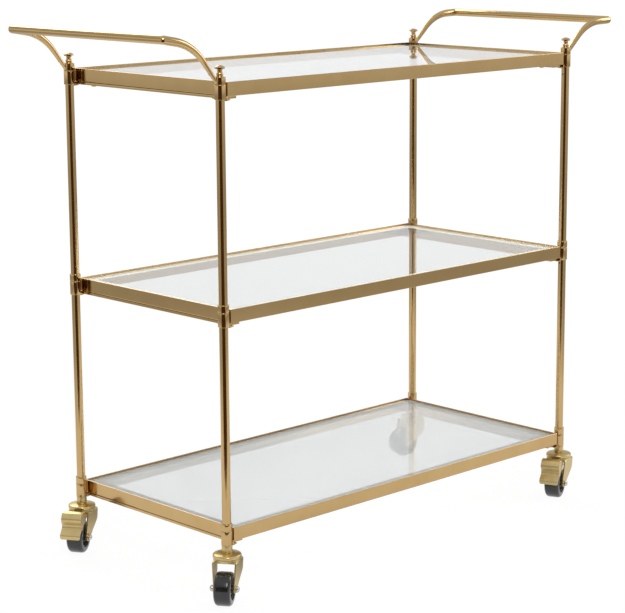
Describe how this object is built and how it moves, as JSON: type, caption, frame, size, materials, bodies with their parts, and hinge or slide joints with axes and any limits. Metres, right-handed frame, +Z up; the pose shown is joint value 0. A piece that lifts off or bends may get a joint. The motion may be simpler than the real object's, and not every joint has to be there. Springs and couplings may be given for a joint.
{
  "type": "bar cart",
  "caption": "Brass bar cart with clear glass shelves in mitred frames between round posts, tube push handles, small finials and swivel casters with foot brakes.",
  "frame": {"origin": "on the floor below the middle of the four posts, within 6 mm of the middle of the whole box", "axes": "+Z up, +X along the cart from the left handle to the right handle, +Y from front to back"},
  "size_m": [0.9732, 0.4074, 0.8215],
  "materials": {
    "brass": "satin gold plating",
    "caster_brass": "gloss gold plating",
    "clear_glass": "clear, polished",
    "black_tyre": "gloss",
    "black_hub": "matt",
    "bright_steel": "nickel plated",
    "zinc_steel": "zinc plated"
  },
  "bodies": {
    "cart": {"back_rail_low": "brass", "back_rail_mid": "brass", "back_rail_top": "brass", "cap_rings_low": "brass", "cap_rings_mid": "brass", "caster_cups": "caster_brass", "caster_stems": "caster_brass", "corner_sleeves_low": "brass", "corner_sleeves_mid": "brass", "corner_sleeves_top": "brass", "end_straps_low": "brass", "end_straps_mid": "brass", "end_straps_top": "brass", "finials": "brass", "front_rail_low": "brass", "front_rail_mid": "brass", "front_rail_top": "brass", "glass_shelf_low": "clear_glass", "glass_shelf_mid": "clear_glass", "glass_shelf_top": "clear_glass", "handle_arm_back_left": "brass", "handle_arm_back_right": "brass", "handle_arm_front_left": "brass", "handle_arm_front_right": "brass", "handle_bar_left": "brass", "handle_bar_right": "brass", "handle_collars": "brass", "left_rail_low": "brass", "left_rail_mid": "brass", "left_rail_top": "brass", "post_back_left": "brass", "post_back_right": "brass", "post_front_left": "brass", "post_front_right": "brass", "right_rail_low": "brass", "right_rail_mid": "brass", "right_rail_top": "brass", "set_screws": "zinc_steel", "strap_screws": "brass", "tie_rods": "zinc_steel"},
    "fork_front_left": {"caster_fork_front_left": "caster_brass", "wheel_axle_front_left": "bright_steel"},
    "wheel_front_left": {"wheel_tyre_front_left": "black_tyre", "wheel_hub_front_left": "black_hub"},
    "fork_back_left": {"caster_fork_back_left": "caster_brass", "wheel_axle_back_left": "bright_steel", "brake_pin_back_left": "zinc_steel"},
    "wheel_back_left": {"wheel_tyre_back_left": "black_tyre", "wheel_hub_back_left": "black_hub"},
    "pedal_back_left": {"brake_pedal_back_left": "caster_brass"},
    "fork_front_right": {"caster_fork_front_right": "caster_brass", "wheel_axle_front_right": "bright_steel", "brake_pin_front_right": "zinc_steel"},
    "wheel_front_right": {"wheel_tyre_front_right": "black_tyre", "wheel_hub_front_right": "black_hub"},
    "pedal_front_right": {"brake_pedal_front_right": "caster_brass"},
    "fork_back_right": {"caster_fork_back_right": "caster_brass", "wheel_axle_back_right": "bright_steel"},
    "wheel_back_right": {"wheel_tyre_back_right": "black_tyre", "wheel_hub_back_right": "black_hub"}
  },
  "joints": [
    {"name": "swivel_front_left", "type": "hinge", "parent": "cart", "child": "fork_front_left", "pos_m": [-0.37625, -0.1715, 0.064], "axis": [0, 0, 1], "continuous": true},
    {"name": "roll_front_left", "type": "hinge", "parent": "fork_front_left", "child": "wheel_front_left", "pos_m": [-0.39203, -0.18296, 0.025], "axis": [0.5878, -0.809, 0], "continuous": true},
    {"name": "swivel_back_left", "type": "hinge", "parent": "cart", "child": "fork_back_left", "pos_m": [-0.37625, 0.1715, 0.064], "axis": [0, 0, 1], "continuous": true},
    {"name": "roll_back_left", "type": "hinge", "parent": "fork_back_left", "child": "wheel_back_left", "pos_m": [-0.3926, 0.16088, 0.025], "axis": [0.5446, -0.8387, 0], "continuous": true},
    {"name": "brake_back_left", "type": "hinge", "parent": "fork_back_left", "child": "pedal_back_left", "pos_m": [-0.40267, 0.15434, 0.0585], "axis": [0.5446, -0.8387, 0], "range_deg": [0, 10]},
    {"name": "swivel_front_right", "type": "hinge", "parent": "cart", "child": "fork_front_right", "pos_m": [0.37625, -0.1715, 0.064], "axis": [0, 0, 1], "continuous": true},
    {"name": "roll_front_right", "type": "hinge", "parent": "fork_front_right", "child": "wheel_front_right", "pos_m": [0.3583, -0.17912, 0.025], "axis": [0.3907, -0.9205, 0], "continuous": true},
    {"name": "brake_front_right", "type": "hinge", "parent": "fork_front_right", "child": "pedal_front_right", "pos_m": [0.34725, -0.18381, 0.0585], "axis": [0.3907, -0.9205, 0], "range_deg": [0, 10]},
    {"name": "swivel_back_right", "type": "hinge", "parent": "cart", "child": "fork_back_right", "pos_m": [0.37625, 0.1715, 0.064], "axis": [0, 0, 1], "continuous": true},
    {"name": "roll_back_right", "type": "hinge", "parent": "fork_back_right", "child": "wheel_back_right", "pos_m": [0.35741, 0.17655, 0.025], "axis": [-0.2588, -0.9659, 0], "continuous": true}
  ]
}
